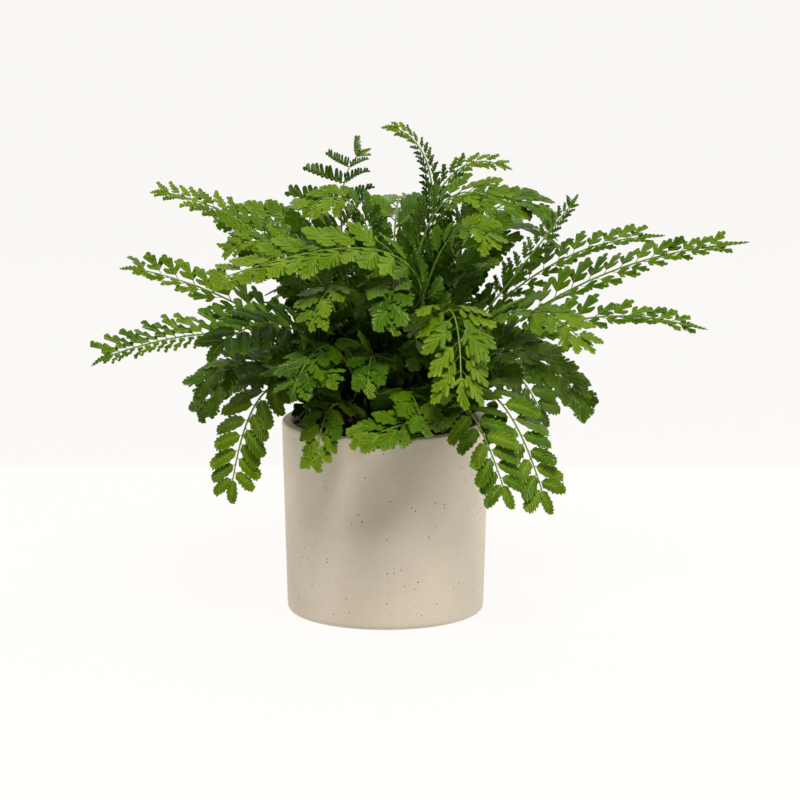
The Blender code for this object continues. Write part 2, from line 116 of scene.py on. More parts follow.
class Look:
    # One material on a Principled shader
    def __init__(self, name):
        self.material = bpy.data.materials.new(name)
        self.material.use_nodes = True
        self.tree = self.material.node_tree
        self.shader = self.tree.nodes["Principled BSDF"]

    def node(self, kind, settings=None, values=None, out=0):
        made = self.tree.nodes.new(kind)
        for name, setting in (settings or {}).items():
            setattr(made, name, setting)
        for name, value in (values or {}).items():
            self.feed(made.inputs[name], value)
        return Value(self, made.outputs[out])

    def feed(self, socket, value):
        if isinstance(value, Value):
            self.tree.links.new(value.socket, socket)
        elif isinstance(value, tuple) and socket.type == "RGBA":
            socket.default_value = (*value, 1)
        else:
            socket.default_value = value

    def mix(self, amount, first, second):
        # The Mix node's colour sockets are known by number: 6 and 7 in, 2 out
        return self.node("ShaderNodeMix", {"data_type": "RGBA"}, {0: amount, 6: first, 7: second}, out=2)

    def grain(self, place, scale, detail, roughness=0.5):
        values = {"Vector": place, "Scale": scale, "Detail": detail, "Roughness": roughness}
        return self.node("ShaderNodeTexNoise", None, values)

    def attribute(self, name):
        # The three numbers of a mesh's own vector attribute
        vector = self.node("ShaderNodeAttribute", {"attribute_name": name}, out="Vector")
        made = self.tree.nodes.new("ShaderNodeSeparateXYZ")
        self.feed(made.inputs[0], vector)
        return [Value(self, socket) for socket in made.outputs]

    def bump(self, height, distance, strength):
        values = {"Height": height, "Distance": distance, "Strength": strength}
        self.feed(self.shader.inputs["Normal"], self.node("ShaderNodeBump", None, values))

    def set(self, **values):
        # Values or links for the shader's sockets, with _ for the spaces in their names
        for name, value in values.items():
            self.feed(self.shader.inputs[name.replace("_", " ")], value)


def addPiece(name, bm, look, replaced=()):
    mesh = bpy.data.meshes.new(name)
    bm.to_mesh(mesh)
    bm.free()
    addMesh(name, mesh, look, replaced)


def addMesh(name, mesh, look, replaced=()):
    # A finished mesh in metres, riding on the one body of the part
    mesh.shade_smooth()
    mesh.set_sharp_from_angle(angle=sharpAngle)
    piece = bpy.data.objects.new(name, mesh)
    piece.data.materials.append(look.material)
    scene.collection.objects.link(piece)
    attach(piece, "root")
    if replaced:
        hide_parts(*replaced)


def around(radius, heading, height):
    return radius * math.cos(heading), radius * math.sin(heading), height


# Pot: cast concrete, 140 mm across at the rim
pot = {
    "height": 131, "rim": 70, "foot": 66.5, "wall": 7, "floor": 9, "rimRound": 1.5, "footRound": 3.6,
    "inside": (118, 100, 60, 20), "steps": 180, "rows": 54, "wave": 0.1, "waveScale": 22, "seed": 5,
    "pits": 130, "pitAcross": (0.14, 0.5), "pitDeep": 0.6, "pitSlope": 0.3, "aroundPit": 0.2,
    "plainFoot": 8, "plainRim": 5,
    # The speckle colour is both the concrete's own dark specks and painted shade in pinholes too fine to cut
    "pale": (0.625, 0.557, 0.448), "dull": (0.545, 0.478, 0.372), "speckleAndPinholeShade": (0.40, 0.34, 0.26),
    # The pit colour is painted shade on the floors of the cut pits
    "light": (0.70, 0.63, 0.53), "shadedPit": (0.07, 0.055, 0.035),
}


def arcPoints(centre, radius, first, last, steps):
    angles = [math.radians(first + (last - first) * k / steps) for k in range(steps + 1)]
    return [(centre[0] + radius * math.cos(a), centre[1] + radius * math.sin(a)) for a in angles]


def potInside(height):
    return pot["foot"] - pot["wall"] + (pot["rim"] - pot["foot"]) * height / pot["height"]


def potProfile():
    # From the middle of the underside, up the outside, over the rim and down to the inner floor
    foot, rim, top = pot["footRound"], pot["rimRound"], pot["height"] - pot["rimRound"]
    profile = [(0, 0), (pot["foot"] * 0.5, 0)] + arcPoints((pot["foot"] - foot, foot), foot, -90, 0, 5)
    for row in range(1, pot["rows"]):
        height = foot + (top - foot) * row / pot["rows"]
        profile.append((pot["foot"] + (pot["rim"] - pot["foot"]) * height / pot["height"], height))
    profile += arcPoints((pot["rim"] - rim, top), rim, 0, 90, 4)
    profile += arcPoints((potInside(top) + rim, top), rim, 90, 180, 4)
    profile += [(potInside(height), height) for height in (*pot["inside"], pot["floor"])]
    return profile + [(potInside(pot["floor"]) * 0.5, pot["floor"]), (0, pot["floor"])]


def turnProfile(profile, steps):
    bm = bmesh.new()
    verts = [bm.verts.new((x * mm, 0, z * mm)) for x, z in profile]
    edges = [bm.edges.new(pair) for pair in zip(verts, verts[1:])]
    bmesh.ops.spin(bm, geom=verts + edges, cent=(0, 0, 0), axis=(0, 0, 1), angle=math.tau, steps=steps,
                   use_merge=True, dvec=(0, 0, 0))
    bmesh.ops.remove_doubles(bm, verts=bm.verts, dist=0.00001)
    bmesh.ops.recalc_face_normals(bm, faces=bm.faces)
    return bm


def pitPlaces(bm):
    # The faces of the outside wall, row by row and round each row, so that each run draws the same ones
    low, high, outside = pot["plainFoot"], pot["height"] - pot["plainRim"], pot["foot"] - 2
    walls = {}
    for face in bm.faces:
        x, y, z = face.calc_center_median() / mm
        if low < z < high and math.hypot(x, y) > outside:
            walls[round(z), math.atan2(y, x)] = face
    return [walls[place] for place in sorted(walls)]


def makePot():
    bm = turnProfile(potProfile(), pot["steps"])
    for vert in bm.verts:  # a cast wall is never quite true
        swell = noise.noise(vert.co * pot["waveScale"]) * pot["wave"] * mm
        if vert.co.z > pot["footRound"] * mm:
            vert.co.xy *= 1 + swell / max(vert.co.xy.length, 10 * mm)
    rng = random.Random(pot["seed"])
    pitted = rng.sample(pitPlaces(bm), pot["pits"])
    # The floors of the pits are marked, to be painted dark as the shade inside them
    mark = bm.verts.layers.float.new("shadedPit")
    small, large = pot["pitAcross"]
    for face in pitted:  # most pinholes are small, and each is cut in one face of the wall
        across = small + (large - small) * rng.random() ** 3
        size = math.sqrt(face.calc_area()) / mm
        edge = max(pot["aroundPit"], (size - across) / 2)
        bmesh.ops.inset_individual(bm, faces=[face], thickness=edge * mm)
        bmesh.ops.inset_individual(bm, faces=[face], thickness=across * pot["pitSlope"] * mm,
                                   depth=-pot["pitDeep"] * mm * min(1, across))
        for vert in face.verts:
            vert[mark] = 1
    addPiece("castPot", bm, concreteLook(), ["pot"])


def concreteLook():
    look = Look("castConcrete")
    place = look.node("ShaderNodeTexCoord", out="Object")
    clouds = look.grain(place, 14, 4, 0.55).between(0.3, 0.7)
    streaks = look.grain(place, 55, 3, 0.6).between(0.35, 0.75)
    grit = look.grain(place, 900, 2, 0.7)
    colour = look.mix(clouds, pot["dull"], pot["pale"])
    colour = look.mix(streaks * 0.25, colour, pot["pale"])
    colour = look.mix(grit.between(0.58, 0.74) * 0.45, colour, pot["speckleAndPinholeShade"])
    colour = look.mix(grit.between(0.44, 0.3) * 0.35, colour, pot["light"])
    shadedPinholes = look.node("ShaderNodeTexVoronoi", {"feature": "F1"}, {"Vector": place, "Scale": 330})
    chance = look.grain(place, 90, 1).between(0.54, 0.62)
    shadedPinholes = shadedPinholes.between(0.2, 0.12) * chance  # pinholes too fine to cut, painted dark as their shade and dented by the bump
    colour = look.mix(shadedPinholes * 0.4, colour, pot["speckleAndPinholeShade"])
    # Painted shade on the floors of the cut pits
    shadedPit = look.node("ShaderNodeAttribute", {"attribute_name": "shadedPit"}, out=2)
    colour = look.mix(shadedPit, colour, pot["shadedPit"])
    look.set(Base_Color=colour, Roughness=0.7 + grit * 0.2, Specular_IOR_Level=0.35)
    look.bump(grit * 0.5 + clouds * 0.3 - shadedPinholes * 0.6, 0.0003, 0.4)
    return look


# Potting mix: coir crumbs and fibres on a lumpy bed, round the crown
soil = {
    "below": 4, "mound": 4, "gap": 0.3, "steps": 96, "rings": 22, "lump": 1.6, "seed": 11,
    "crumbs": 560, "crumbSize": (0.8, 2.6), "crumbUneven": 0.22,
    "fibres": 150, "fibreThick": (0.12, 0.24), "fibreStep": (1.2, 2.6), "fibreSteps": 5, "fibreBend": 0.5,
    "dark": (0.020, 0.010, 0.006), "red": (0.105, 0.038, 0.017), "pale": (0.20, 0.10, 0.05),
}
crown = {
    "radius": 32, "sunk": 14, "rise": 7, "bevel": 3, "steps": 64, "rings": 14, "lump": 0.9, "seed": 21,
    "scales": 420, "scaleLong": (2.5, 6), "scaleWide": (0.35, 0.7), "scaleThick": 0.12,
    "scaleShape": ((0, 0.8), (0.4, 1), (0.75, 0.5), (1, 0.08)),
    "dark": (0.016, 0.009, 0.005), "brown": (0.085, 0.045, 0.02),
}


def soilHeight(radius):
    edge = pot["height"] - soil["below"]
    return edge + soil["mound"] * (1 - (radius / potInside(edge)) ** 2)


def crownHeight(radius):
    return pot["height"] - soil["below"] + crown["rise"] * (1 - (radius / crown["radius"]) ** 2)


def growTube(bm, rings):
    # Each ring of places is extruded from the one before, with both ends capped
    foot = bmesh.ops.create_circle(bm, cap_ends=True, segments=len(rings[0]), radius=1)["verts"]
    face = foot[0].link_faces[0]
    for vert, place in zip(foot, rings[0]):
        vert.co = place
    grown = bmesh.ops.extrude_face_region(bm, geom=[face])["geom"]
    face = next(item for item in grown if isinstance(item, bmesh.types.BMFace))
    ends = [min(face.verts, key=lambda v: (v.co - vert.co).length_squared) for vert in foot]
    for vert, place in zip(ends, rings[1]):
        vert.co = place
    for ring in rings[2:]:
        old = list(face.verts)
        face = bmesh.ops.extrude_discrete_faces(bm, faces=[face])["faces"][0]
        copies = dict(zip(old, face.verts))
        ends = [copies[vert] for vert in ends]
        for vert, place in zip(ends, ring):
            vert.co = place


def soilEdges():
    return crown["radius"] + soil["gap"], potInside(pot["height"] - soil["below"]) - soil["gap"]


def makeBed(look):
    inner, outer = soilEdges()
    lowest = pot["height"] - soil["below"] - crown["sunk"]
    bottom = pot["floor"] + soil["gap"]
    profile = [(0, bottom), (potInside(pot["floor"]) - soil["gap"], bottom)]
    for ring in range(soil["rings"] + 1):
        radius = outer + (inner - outer) * ring / soil["rings"]
        profile.append((radius, soilHeight(radius)))
    bm = turnProfile(profile + [(inner, lowest), (0, lowest)], soil["steps"])
    for vert in bm.verts:
        radius = vert.co.xy.length / mm
        if inner + 1 < radius < outer - 0.5 and vert.co.z > 0.1:
            lump = noise.fractal(vert.co * 160, 0.6, 2.0, 3) + 0.5 * noise.noise(vert.co * 45)
            vert.co.z += soil["lump"] * mm * lump
    addPiece("pottingBed", bm, look, ["potting_mix"])


def addCrumbs(bm, rng):
    inner, outer = soilEdges()
    small, large = soil["crumbSize"]
    uneven = soil["crumbUneven"]
    for _ in range(soil["crumbs"]):
        radius = math.sqrt(rng.uniform((inner + 1) ** 2, (outer - 2.4) ** 2))
        heading = rng.uniform(0, math.tau)
        size = small + (large - small) * rng.random() ** 2
        place = Vector(around(radius, heading, soilHeight(radius) + size * 0.25))
        spin = Matrix.Rotation(rng.uniform(0, 6), 4, "Z") @ Matrix.Rotation(rng.uniform(0, 6), 4, "X")
        shape = Matrix.Diagonal((rng.uniform(0.7, 1.5), rng.uniform(0.6, 1.1), rng.uniform(0.4, 0.8), 1))
        matrix = Matrix.Translation(place * mm) @ spin @ shape
        made = bmesh.ops.create_icosphere(bm, subdivisions=1, radius=size * mm, matrix=matrix)
        for vert in made["verts"]:
            vert.co += Vector([rng.uniform(-uneven, uneven) for _ in range(3)]) * size * mm


def addFibres(bm, rng):
    # Three-sided threads that wander over the bed and stay clear of the pot's wall
    inner, outer = soilEdges()
    bend, edge = soil["fibreBend"], outer - 1.5
    for _ in range(soil["fibres"]):
        radius = rng.uniform(inner + 3, outer - 6)
        heading = rng.uniform(0, math.tau)
        point = Vector(around(radius, heading, soilHeight(radius) + 0.8))
        way = rng.uniform(0, math.tau)
        thick = rng.uniform(*soil["fibreThick"])
        rings = []
        for _ in range(soil["fibreSteps"]):
            corners = [Vector((math.cos(a) * math.sin(way), -math.cos(a) * math.cos(way), math.sin(a)))
                       for a in (0, 2.1, 4.2)]
            rings.append([(point + thick * corner) * mm for corner in corners])
            way += rng.uniform(-bend, bend)
            long = rng.uniform(*soil["fibreStep"])
            point = point + long * Vector((math.cos(way), math.sin(way), rng.uniform(-0.25, 0.3)))
            if point.xy.length > edge:
                point.xy *= edge / point.xy.length
        growTube(bm, rings)


def makeSoil():
    look = soilLook()
    makeBed(look)
    bm = bmesh.new()
    rng = random.Random(soil["seed"])
    addCrumbs(bm, rng)
    addFibres(bm, rng)
    bmesh.ops.recalc_face_normals(bm, faces=bm.faces)
    addPiece("coirCrumbs", bm, look)


def soilLook():
    look = Look("coirMix")
    place = look.node("ShaderNodeTexCoord", out="Object")
    broad = look.grain(place, 130, 3, 0.6).between(0.35, 0.68)
    fine = look.grain(place, 700, 3, 0.7)
    colour = look.mix(broad, soil["dark"], soil["red"])
    colour = look.mix(fine.between(0.5, 0.72) * 0.6, colour, soil["pale"])
    look.set(Base_Color=colour, Roughness=0.8 + fine * 0.2, Specular_IOR_Level=0.25)
    look.bump(fine, 0.0005, 0.8)
    return look


def makeCrown():
    radii = [crown["radius"] * k / crown["rings"] for k in range(crown["rings"] + 1)]
    edge = pot["height"] - soil["below"]
    lowest, bevel = edge - crown["sunk"], crown["bevel"]
    profile = [(0, lowest), (crown["radius"] - bevel, lowest), (crown["radius"], lowest + bevel)]
    profile += [(radius, crownHeight(radius)) for radius in radii[::-1]]
    bm = turnProfile(profile, crown["steps"])
    for vert in bm.verts:
        if vert.co.z > (edge - 1) * mm and vert.co.xy.length < crown["radius"] * mm * 0.97:
            vert.co.z += crown["lump"] * mm * noise.fractal(vert.co * 190, 0.6, 2.0, 3)
    addScales(bm)
    bmesh.ops.recalc_face_normals(bm, faces=bm.faces)
    addPiece("scalyCrown", bm, crownLook(), ["crown"])


def addScales(bm):
    # Papery brown scales between the stalks
    rng = random.Random(crown["seed"])
    for _ in range(crown["scales"]):
        radius = crown["radius"] * math.sqrt(rng.random()) * 0.97
        heading = rng.uniform(0, math.tau)
        foot = Vector(around(radius, heading, crownHeight(radius) - 0.6))
        lean = rng.uniform(0.2, 0.9)
        out = heading + rng.uniform(-0.7, 0.7)
        way = Vector((math.cos(out) * lean, math.sin(out) * lean, 1)).normalized()
        side = way.cross(Vector((math.cos(out), math.sin(out), -lean))).normalized()
        long = rng.uniform(*crown["scaleLong"])
        wide = rng.uniform(*crown["scaleWide"])
        flat = way.cross(side) * crown["scaleThick"]
        rings = []
        for share, width in crown["scaleShape"]:
            middle = foot + way * long * share
            edge = side * wide * width
            rings.append([(middle + corner) * mm for corner in (edge, flat, -edge, -flat)])
        growTube(bm, rings)


def crownLook():
    look = Look("scalyRootstock")
    place = look.node("ShaderNodeTexCoord", out="Object")
    fibre = look.grain(place, 420, 3, 0.65)
    colour = look.mix(fibre.between(0.4, 0.66), crown["dark"], crown["brown"])
    look.set(Base_Color=colour, Roughness=0.7 + fibre * 0.2)
    look.bump(fibre, 0.0004, 0.7)
    return look


# Leaflets. angle is from the rib, spacing the way to the next as a share of the longest leaflet, and
# alternate sets one side half a space on. crowding is how far they overlap like shingles, taper is (loss,
# power) of their lengths towards the end, and tail the least share of the rib for a narrow toothed tail.
# under is (length, width, turn) of the leaflets below a rib that runs sideways. shade is how much shorter and
# closer they are where the rib rises straight up among the others, further how far small ones go on below a
# frond's start, lean how far they face the front, and a low foot takes the brown further up the stalk.
# The rest is in shares of a leaflet's length: lobes a side spring from the midrib between stem and spread,
# at angles from open to shut, and reach out first, middle and last. cut is how deep they are parted, width
# and notch shape their ends, ragged is how unlike they are, and lower is the size of the lower side
anyForm = {
    "alternate": False, "crowding": 1.2, "tail": 0, "under": (1.0, 1.0, 0), "shade": 0.32, "further": 0.1,
    "lean": 1, "foot": 1, "ragged": 1,
}
leafForms = {
    "lobed": {
        **anyForm, "angle": 56, "spacing": 0.42, "taper": (0.64, 0.65), "lobes": 5, "stem": 0.14,
        "spread": 0.62, "open": 52, "shut": 18, "reach": (0.36, 0.47, 0.37), "lower": 0.85, "cut": 0.66,
        "width": 0.105, "notch": 0.025, "end": 0.15,
    },
    "feather": {
        **anyForm, "angle": 58, "spacing": 0.30, "crowding": 1.35, "taper": (0.5, 0.7), "lobes": 4,
        "stem": 0.2, "spread": 0.66, "open": 44, "shut": 16, "reach": (0.34, 0.40, 0.34), "lower": 0.8,
        "cut": 0.66, "width": 0.10, "notch": 0.0, "end": 0.12,
    },
    "hand": {
        **anyForm, "angle": 52, "spacing": 0.42, "crowding": 1.05, "taper": (0.7, 0.85), "tail": 0.05,
        "under": (1.0, 0.9, -6), "lobes": 4, "stem": 0.2, "spread": 0.64, "open": 58, "shut": 22,
        "reach": (0.34, 0.42, 0.34), "lower": 0.35, "cut": 0.72, "width": 0.125, "notch": 0.02, "end": 0.14,
    },
    "finger": {
        **anyForm, "angle": 66, "spacing": 0.23, "crowding": 1.3, "taper": (0.60, 0.75), "tail": 0.04,
        "under": (0.56, 1.0, -8), "lobes": 2, "stem": 0.11, "spread": 0.46, "open": 38, "shut": 18,
        "reach": (0.34, 0.40, 0.44), "lower": 0.6, "cut": 0.5, "width": 0.16, "notch": 0.03, "end": 0.2,
    },
    "fan": {
        **anyForm, "angle": 54, "spacing": 0.48, "alternate": True, "crowding": 1.0, "taper": (0.62, 0.8),
        "tail": 0.09, "under": (0.95, 0.62, -14), "lobes": 2, "stem": 0.2, "spread": 0.42, "open": 44,
        "shut": 20, "reach": (0.50, 0.54, 0.54), "lower": 0.8, "cut": 0.68, "width": 0.18, "notch": 0.04,
        "end": 0.2,
    },
    "broad": {
        **anyForm, "angle": 50, "spacing": 0.46, "alternate": True, "taper": (0.6, 0.6), "lobes": 5,
        "stem": 0.16, "spread": 0.6, "open": 54, "shut": 18, "reach": (0.36, 0.49, 0.40), "lower": 0.9,
        "cut": 0.42, "width": 0.12, "notch": 0.04, "end": 0.18,
    },
    "oval": {
        **anyForm, "angle": 68, "spacing": 0.40, "alternate": True, "crowding": 1.0, "taper": (0.56, 0.7),
        "ragged": 0.2, "lobes": 6, "stem": 0.08, "spread": 0.66, "open": 54, "shut": 22,
        "reach": (0.27, 0.43, 0.37), "lower": 0.95, "cut": 0.05, "width": 0.065, "notch": 0.01, "end": 0.24,
    },
    "comb": {
        **anyForm, "angle": 86, "spacing": 0.3, "crowding": 0.8, "taper": (0.76, 0.9), "tail": 0.05,
        "under": (0.75, 1.0, -48), "shade": 0.05, "further": 0.26, "lean": 3.2, "foot": 0.1, "lobes": 8,
        "stem": 0.05, "spread": 0.84, "open": 68, "shut": 50, "reach": (0.27, 0.24, 0.15), "lower": 0.2,
        "cut": 0.84, "width": 0.075, "notch": 0.0, "end": 0.08,
    },
    "tail": {
        **anyForm, "lobes": 6, "stem": 0.02, "spread": 0.8, "open": 46, "shut": 30,
        "reach": (0.30, 0.20, 0.12), "lower": 1.0, "cut": 0.6, "width": 0.1, "notch": 0.02, "end": 0.07,
    },
}
# For all forms, in millimetres, degrees and shares: how leaflets stand on the rib, how much more they turn
# where it rises straight up and how much they are darkened there as painted shade of the crowded middle,
# their cross-section and margin, and how far no two are alike
leaflet = {
    "lowest": 0.09, "young": 0.85, "closest": 0.2, "forward": 14, "shortest": 0.06, "endShare": 0.95,
    "endSqueeze": 0.85, "tailWide": 5.5, "shingle": 12, "clearance": 0.5,
    "turns": (0, 12, -12, 24, -24, 38, -38, 52), "steepTurn": 12, "shadeWhereSteep": 0.7,
    "thick": 0.36, "leastHalf": 0.012, "curl": 0.1, "rise": 0.2, "sag": 0.011, "pleat": 0.015, "fold": 0.2,
    "droop": 0.025, "wave": 0.05, "waves": 5,
    "shoulders": ((-0.5, 0.9), (0.0, 1.0), (0.5, 0.9)), "firstShoulder": 0.72, "endPlace": 0.94,
    "variants": 5, "seed": 77, "unevenLength": (0.88, 1.06), "unevenAngle": 9, "unevenTilt": 18,
    "unevenShingle": 12, "lobeTurn": (-5, 5), "lobeLong": (-0.16, 0.14), "lobeEnd": (0.6, 1.3),
    "lobeWide": (0.9, 1.1), "unevenCut": (0.92, 1.05),
}


def bow(places, share):
    # The parabola through three values at 0, a half and 1
    first, middle, last = places
    start, end = first * (1 - share) * (1 - 2 * share), last * share * (2 * share - 1)
    return start + 4 * middle * share * (1 - share) + end


def lobeFeet(shape):
    # Where each point of a margin springs from the midrib: four to a lobe, then two for the end lobe
    count = shape["lobes"]
    bases = [shape["stem"] + (shape["spread"] - shape["stem"]) * k / (count - 1) for k in range(count)]
    sinuses = [shape["stem"] * 0.9] + [(a + b) / 2 for a, b in zip(bases, bases[1:])]
    sinuses.append(bases[-1] + (bases[-1] - sinuses[-1]) * 1.2)
    feet = [0]
    for first, second in zip(sinuses, sinuses[1:]):
        feet += [first + (second - first) * share for share in (0, 0.3, 0.5, 0.7)]
    return bases, feet + [sinuses[-1], (sinuses[-1] + 1) / 2, 1]


def leafSide(shape, side, rng):
    # One margin of the leaflet, four points to a lobe: the sinus before it, a shoulder, its end, a shoulder
    count, least = shape["lobes"], leaflet["leastHalf"]
    scale = 1 if side > 0 else shape["lower"]
    bases, feet = lobeFeet(shape)
    margin, before = [(0, least)], None
    for k in range(count + 1):
        root = feet[1 + 4 * k]
        if k < count:
            share = k / (count - 1)
            angle = shape["open"] + (shape["shut"] - shape["open"]) * share
            turn = math.radians(angle + rng.uniform(*leaflet["lobeTurn"]))
            ragged = 1 + shape["ragged"] * rng.uniform(*leaflet["lobeLong"])
            long = bow(shape["reach"], share) * scale * ragged
            wide = shape["width"] * (0.4 + 0.6 * scale)
            lobe = []
            for across, reach in leaflet["shoulders"]:
                reach += shape["notch"] * (1 if across else -1) * rng.uniform(*leaflet["lobeEnd"])
                if k == 0 and across < 0:
                    reach *= leaflet["firstShoulder"]
                off = across * wide * rng.uniform(*leaflet["lobeWide"])
                lobe.append((bases[k] + reach * long * math.cos(turn) + off * math.sin(turn),
                             reach * long * math.sin(turn) - off * math.cos(turn)))
        else:
            lobe = [(leaflet["endPlace"], shape["end"] / 2), (1.0, shape["end"] * 0.2)]
        if before:
            depth = 1 - shape["cut"] * rng.uniform(*leaflet["unevenCut"])
            middle = ((before[0] + lobe[0][0]) / 2, (before[1] + lobe[0][1]) / 2)
            margin.append((root + (middle[0] - root) * depth, middle[1] * depth))
        else:
            margin.append((root, least))
        before = lobe[-1]
        margin += lobe
    return [(x, max(least, y)) for x, y in margin]


def leafTemplate(form, rng):
    # A flat closed leaflet one unit long, and its mesh once more inside out for the left side, which is
    # mirrored. facts holds the place among the lobes, the side of the midrib and the height of the pleats
    shape = leafForms[form]
    upper, lower = leafSide(shape, 1, rng), leafSide(shape, -1, rng)
    feet = lobeFeet(shape)[1]
    bm = bmesh.new()
    last = len(upper) - 1
    bmesh.ops.create_grid(bm, x_segments=last, y_segments=2, size=1)
    facts = {}
    for vert in bm.verts:
        column, row = round((vert.co.x + 1) / 2 * last), round(vert.co.y)
        phase = (column - 1) % 4 / 4 if column else 0
        if row:
            x, y = (upper if row > 0 else lower)[column]
            vert.co = (x, y * row, -1)
        else:
            vert.co = (feet[column], 0, -1)
        facts[vert] = ((column - 1) / 4, row, -math.cos(math.tau * phase) * abs(row))
    pairs = bmesh.ops.extrude_face_region(bm, geom=list(bm.faces))["geom"]
    top = [item for item in pairs if isinstance(item, bmesh.types.BMVert)]
    placed = {(round(v.co.x, 6), round(v.co.y, 6)): fact for v, fact in facts.items()}
    for vert in top:
        facts[vert] = placed[(round(vert.co.x, 6), round(vert.co.y, 6))]
        vert.co.z = 1
    bmesh.ops.recalc_face_normals(bm, faces=bm.faces)
    bm.verts.index_update()
    points = np.array([vert.co[:] for vert in bm.verts])
    wide = np.ptp(points[:, 1])
    meshes = []
    for _ in range(2):
        mesh = bpy.data.meshes.new("leafTemplate")
        bm.to_mesh(mesh)
        meshes.append(mesh)
        bmesh.ops.reverse_faces(bm, faces=bm.faces)
    shown = np.array([facts[vert] for vert in bm.verts])
    bm.free()
    return {"meshes": meshes, "points": points, "facts": shown, "wide": wide}


# The plant: rings of stalks on the crown as (radius, heading of the first), then one line a frond in the
# order of the solids: crest and tip of its arch, longest leaflet, form, the share of the rib where its
# leaflets start, and tone from deep green 0 to fresh yellow-green 1
rings = ((13, -165), (20.5, -172), (27.5, -170), (6.5, -135))
innerFronds = (
    ((-45, -12, 290), (-110, -20, 246), 34, "hand", 0.30, 0.8),
    ((-24, -42, 280), (-50, -104, 210), 37, "lobed", 0.28, 0.7),
    ((6, -22, 328), (-56, -36, 276), 34, "lobed", 0.32, 0.85),
    ((2, -44, 288), (4, -108, 208), 38, "broad", 0.28, 0.45),
    ((80, -68, 312), (-117, -100, 240), 35, "lobed", 0.38, 0.9),
    ((34, -34, 312), (75, -62, 256), 34, "lobed", 0.32, 0.85),
    ((12, -22, 330), (82, -32, 280), 36, "feather", 0.32, 0.75),
    ((40, -6, 306), (90, -12, 284), 30, "hand", 0.32, 0.6),
    ((92, 18, 232), (131, 28, 280), 29, "hand", 0.26, 0.5),
    ((60, 44, 318), (118, 66, 256), 40, "broad", 0.30, 0.5),
    ((64, 22, 322), (-3, 20, 328), 26, "hand", 0.36, 0.85),
    ((22, 18, 338), (85, 15, 298), 28, "hand", 0.36, 0.8),
    ((-52, 32, 306), (-9, 60, 306), 52, "comb", 0.68, 0.3),
    ((-40, 34, 290), (-116, 42, 258), 32, "broad", 0.30, 0.5),
    ((-50, 6, 272), (-159, 28, 283), 33, "hand", 0.30, 0.8),
)
middleFronds = (
    ((-62, -20, 228), (-197, -30, 175), 34, "finger", 0.20, 0.5),
    ((-60, -42, 245), (-118, -76, 186), 36, "oval", 0.18, 0.15),
    ((-36, -60, 236), (-62, -116, 166), 37, "lobed", 0.18, 0.35),
    ((-8, -62, 222), (-12, -114, 168), 34, "broad", 0.16, 0.3),
    ((52, -70, 290), (49, -134, 164), 47, "feather", 0.22, 0.8),
    ((82, -50, 262), (136, -90, 192), 38, "lobed", 0.18, 0.7),
    ((105, -20, 232), (214, -36, 198), 30, "fan", 0.20, 0.5),
    ((112, 2, 245), (243, -18, 254), 30, "fan", 0.22, 0.6),
    ((92, 28, 255), (190, 34, 250), 30, "fan", 0.22, 0.5),
    ((56, 56, 300), (122, 130, 226), 42, "lobed", 0.20, 0.5),
    ((6, 60, 330), (14, 172, 236), 42, "broad", 0.20, 0.55),
    ((-44, 66, 306), (-92, 140, 240), 42, "lobed", 0.20, 0.5),
    ((-60, 44, 262), (-112, 70, 240), 41, "broad", 0.20, 0.45),
    ((-70, 10, 215), (-179, 12, 234), 35, "fan", 0.20, 0.7),
)
outerFronds = (
    ((-88, -38, 212), (-104, -48, 83), 32, "oval", 0.14, 0.85),
    ((-105, -72, 200), (-27, -97, 176), 31, "lobed", 0.16, 0.7),
    ((-40, -62, 182), (-46, -94, 114), 28, "broad", 0.16, 0.7),
    ((72, -96, 168), (-24, -119, 139), 34, "broad", 0.15, 0.65),
    ((14, -74, 192), (26, -116, 142), 37, "broad", 0.14, 0.45),
    ((47, -80, 208), (82, -108, 92), 34, "oval", 0.18, 0.65),
    ((72, -62, 214), (108, -88, 84), 34, "oval", 0.18, 0.6),
    ((92, -36, 226), (130, -66, 152), 36, "lobed", 0.16, 0.6),
    ((88, 12, 215), (140, 22, 128), 33, "broad", 0.16, 0.35),
    ((78, 55, 205), (112, 80, 108), 33, "oval", 0.16, 0.4),
    ((30, 66, 262), (52, 138, 172), 35, "lobed", 0.16, 0.4),
    ((-16, 84, 205), (-25, 138, 106), 35, "broad", 0.16, 0.45),
    ((-46, 60, 262), (-84, 116, 180), 35, "lobed", 0.16, 0.35),
    ((-86, 32, 205), (-130, 48, 120), 34, "broad", 0.16, 0.35),
    ((-92, -16, 205), (-129, -38, 152), 37, "lobed", 0.16, 0.45),
)
# Fronds deep in the middle: their low tones are partly their own deep green and partly painted shade
centreFronds = (
    ((-32, -14, 214), (-40, -67, 203), 40, "broad", 0.16, 0.2),
    ((14, -24, 224), (28, -78, 181), 37, "broad", 0.16, 0.2),
    ((35, 8, 223), (71, 49, 237), 42, "lobed", 0.20, 0.3),
    ((-12, 24, 240), (-46, 55, 229), 42, "lobed", 0.20, 0.3),
)
stalk = {
    "wide": (1.0, 0.42), "deep": (0.9, 0.4), "sides": 8, "groove": 0.55, "step": 6.5, "leastRings": 12,
    "swollen": 0.7, "swollenLong": 9, "sunk": 5.2, "bareTip": 0.6, "hinge": 0.6, "lean": 1.15,
    "archSteps": 60, "proxyStep": 9, "proxySunk": 4, "seed": 100,
}


